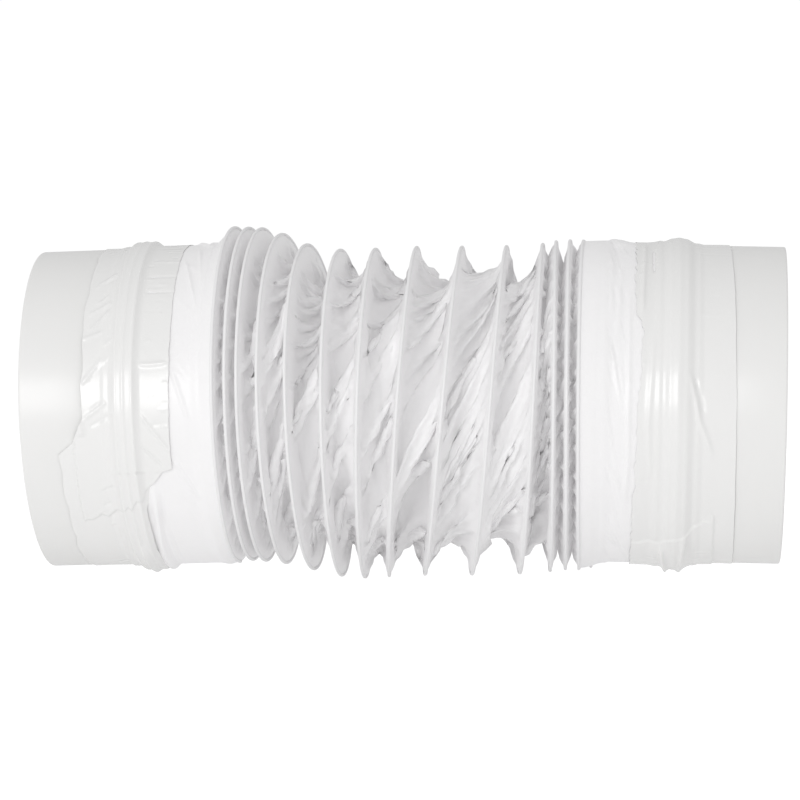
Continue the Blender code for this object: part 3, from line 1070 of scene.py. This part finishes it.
def plastic(name, colour, roughness, spread, bump, scale, clear=0.0, see_through=0.0, painted_glow=0.0):
    """Plastic with uneven tone and gloss and a fine relief.

    Spread is the unevenness, bump the relief's depth in metres, scale that of the broad noise,
    clear the weight of a clear coat, see_through the share of light that passes, and painted_glow
    the strength of a painted glow: emission in the surface's own colour that brightens it, standing
    for light scattered in thin film."""
    mat = bpy.data.materials.new(name)
    mat.use_nodes = True
    nodes, links = mat.node_tree.nodes, mat.node_tree.links
    shader = nodes["Principled BSDF"]
    place = nodes.new("ShaderNodeTexCoord")
    broad = noise_value(nodes, links, place, scale, BROAD_DETAIL)
    fine = noise_value(nodes, links, place, scale * FINE_SCALE, FINE_DETAIL)
    tone = ranged_value(nodes, links, broad, 1.0 - spread, 1.0 + spread * TONE_UP)
    tint = nodes.new("ShaderNodeVectorMath")
    tint.operation = "SCALE"
    tint.inputs[0].default_value = colour
    least, most = 1.0 - GLOSS_SPREAD * spread, 1.0 + GLOSS_SPREAD * spread
    gloss = ranged_value(nodes, links, fine, roughness * least, roughness * most)
    relief = nodes.new("ShaderNodeBump")
    relief.inputs["Strength"].default_value = RELIEF
    relief.inputs["Distance"].default_value = bump
    links.new(tone, tint.inputs["Scale"])
    links.new(fine, relief.inputs["Height"])
    links.new(tint.outputs["Vector"], shader.inputs["Base Color"])
    links.new(gloss, shader.inputs["Roughness"])
    links.new(relief.outputs["Normal"], shader.inputs["Normal"])
    shader.inputs["IOR"].default_value = PLASTIC_IOR
    shader.inputs["Coat Weight"].default_value = clear
    shader.inputs["Coat Roughness"].default_value = COAT_ROUGHNESS
    # Painted glow: the surface emits light in its own colour, which brightens it though it is no
    # lamp.
    shader.inputs["Emission Color"].default_value = (*colour, 1.0)
    shader.inputs["Emission Strength"].default_value = painted_glow
    if see_through:
        through_film = nodes.new("ShaderNodeBsdfTranslucent")
        mix = nodes.new("ShaderNodeMixShader")
        mix.inputs["Fac"].default_value = see_through
        links.new(tint.outputs["Vector"], through_film.inputs["Color"])
        links.new(relief.outputs["Normal"], through_film.inputs["Normal"])
        links.new(shader.outputs["BSDF"], mix.inputs[1])
        links.new(through_film.outputs["BSDF"], mix.inputs[2])
        links.new(mix.outputs["Shader"], nodes["Material Output"].inputs["Surface"])
    return mat


PIPE = plastic(
    "pvc_pipe", (0.87, 0.867, 0.858), roughness=0.3, spread=0.008, bump=0.000003, scale=30.0,
    clear=0.1,
)
# The film and the bead get a painted glow: emission that brightens them like light.
FILM = plastic(
    "pvc_film", (0.95, 0.944, 0.949), roughness=0.34, spread=0.02, bump=0.00012, scale=60.0,
    see_through=0.12, painted_glow=0.08,
)
BEAD = plastic(
    "bead_film", (0.9, 0.895, 0.9), roughness=0.35, spread=0.02, bump=0.00008, scale=60.0,
    see_through=0.05, painted_glow=0.03,
)
NYLON = plastic(
    "nylon", (0.88, 0.88, 0.86), roughness=0.45, spread=0.04, bump=0.00005, scale=90.0,
)
TAPE = plastic(
    "pvc_tape", (0.885, 0.882, 0.875), roughness=0.25, spread=0.01, bump=0.00003, scale=50.0,
    clear=0.3,
)

cloth = film_cloth()
film_pieces(cloth, FILM)
bead_pieces(BEAD)
for side in ("left", "right"):
    make_collar(side, PIPE)
    make_tape(side, TAPE)
    make_cuff(side, FILM)
    make_tie(side, NYLON)


# ---------------------------------------------------------------- camera, light and floor


def aim(obj, place, target):
    """Places an object and turns its front to a target."""
    obj.location = place
    obj.rotation_euler = (Vector(target) - Vector(place)).to_track_quat("-Z", "Y").to_euler()


def area_light(name, place, target, size, watts):
    """Square soft light, facing its target."""
    light = bpy.data.lights.new(name, "AREA")
    light.size = size
    light.energy = watts
    obj = bpy.data.objects.new(name, light)
    bpy.context.scene.collection.objects.link(obj)
    aim(obj, place, target)


def make_camera():
    """Camera level with the duct, almost square to it, with a slight roll."""
    turn = math.radians(CAMERA_TURN)
    right = Vector((math.cos(turn), math.sin(turn), 0.0))
    ahead = Vector((-math.sin(turn), math.cos(turn), 0.0))
    mouth = Vector(COLLARS["right"][0])
    along, up_by = CAMERA_LOOK
    target = mouth + Vector((along, 0.0, up_by)) * MM + right * CAMERA_SHIFT * MM
    camera = bpy.data.objects.new("camera", bpy.data.cameras.new("camera"))
    camera.data.lens = CAMERA_LENS
    roll = math.radians(CAMERA_ROLL)
    side = right * math.cos(roll) + Vector((0.0, 0.0, 1.0)) * math.sin(roll)
    up = side.cross(ahead)
    pose = Matrix((side, up, -ahead)).transposed().to_4x4()
    pose.translation = target - ahead * CAMERA_DISTANCE
    camera.matrix_world = pose
    bpy.context.scene.collection.objects.link(camera)
    bpy.context.scene.camera = camera


def seen_level(nodes, links, as_light, as_seen):
    """Strength that differs for light and for what the camera sees."""
    path = nodes.new("ShaderNodeLightPath")
    return ranged_value(nodes, links, path.outputs["Is Camera Ray"], as_light, as_seen)


def make_world():
    """White surroundings: full white where the camera sees them, softer as light."""
    world = bpy.data.worlds.new("studio")
    bpy.context.scene.world = world
    world.use_nodes = True
    nodes, links = world.node_tree.nodes, world.node_tree.links
    back = nodes["Background"]
    back.inputs["Color"].default_value = (1.0, 1.0, 1.0, 1.0)
    links.new(seen_level(nodes, links, *WORLD_GLOW), back.inputs["Strength"])


def make_floor():
    """Plain pale floor just under the duct."""
    turns = ((-1, -1), (1, -1), (1, 1), (-1, 1))
    corners = np.array([(a * FLOOR_REACH, b * FLOOR_REACH, -FLOOR_DROP) for a, b in turns])
    floor = new_piece("floor", corners, [(0, 1, 2, 3)])
    mat = plastic(
        "floor", (0.5, 0.5, 0.5), roughness=0.6, spread=0.01, bump=0.00001, scale=8.0,
    )
    nodes, links = mat.node_tree.nodes, mat.node_tree.links
    shader = nodes["Principled BSDF"]
    shader.inputs["Emission Color"].default_value = (1.0, 1.0, 1.0, 1.0)
    links.new(seen_level(nodes, links, *FLOOR_GLOW), shader.inputs["Emission Strength"])
    floor.data.materials.append(mat)


make_camera()
make_world()
make_floor()
area_light("key", KEY_PLACE, KEY_TARGET, KEY_SIZE, KEY_WATTS)
bpy.context.scene.view_settings.view_transform = "Standard"
